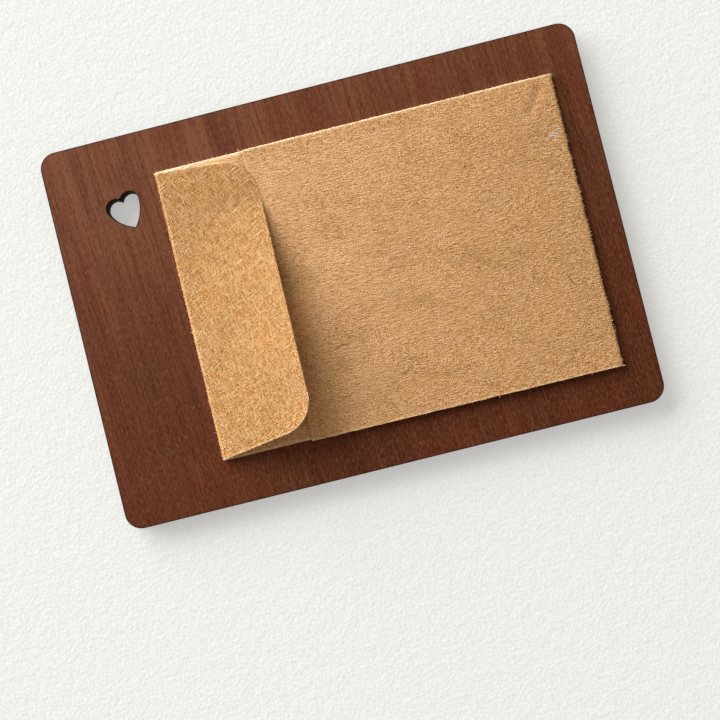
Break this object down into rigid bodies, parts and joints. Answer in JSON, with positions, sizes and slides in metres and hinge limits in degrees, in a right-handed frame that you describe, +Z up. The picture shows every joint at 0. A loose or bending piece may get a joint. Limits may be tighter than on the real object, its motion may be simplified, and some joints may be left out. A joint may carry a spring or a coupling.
{
  "type": "greeting card",
  "caption": "Flat wooden greeting card with rounded corners and a small heart cut through it, carrying a kraft paper envelope whose flap stands a little open.",
  "frame": {"origin": "centre of the card's underside", "axes": "+X along the card's long side, away from the heart; +Y across the card, towards the long edge nearer the heart; +Z up through the card and the envelope"},
  "size_m": [0.148, 0.1042, 0.01],
  "materials": {
    "card_wood": "fine dark red-brown wood veneer, matt, with scorched cut edges",
    "kraft_paper": "uncoated brown kraft paper with short fibres"
  },
  "bodies": {
    "root": {"wooden_card": "card_wood", "kraft_envelope": "kraft_paper"}
  },
  "joints": []
}
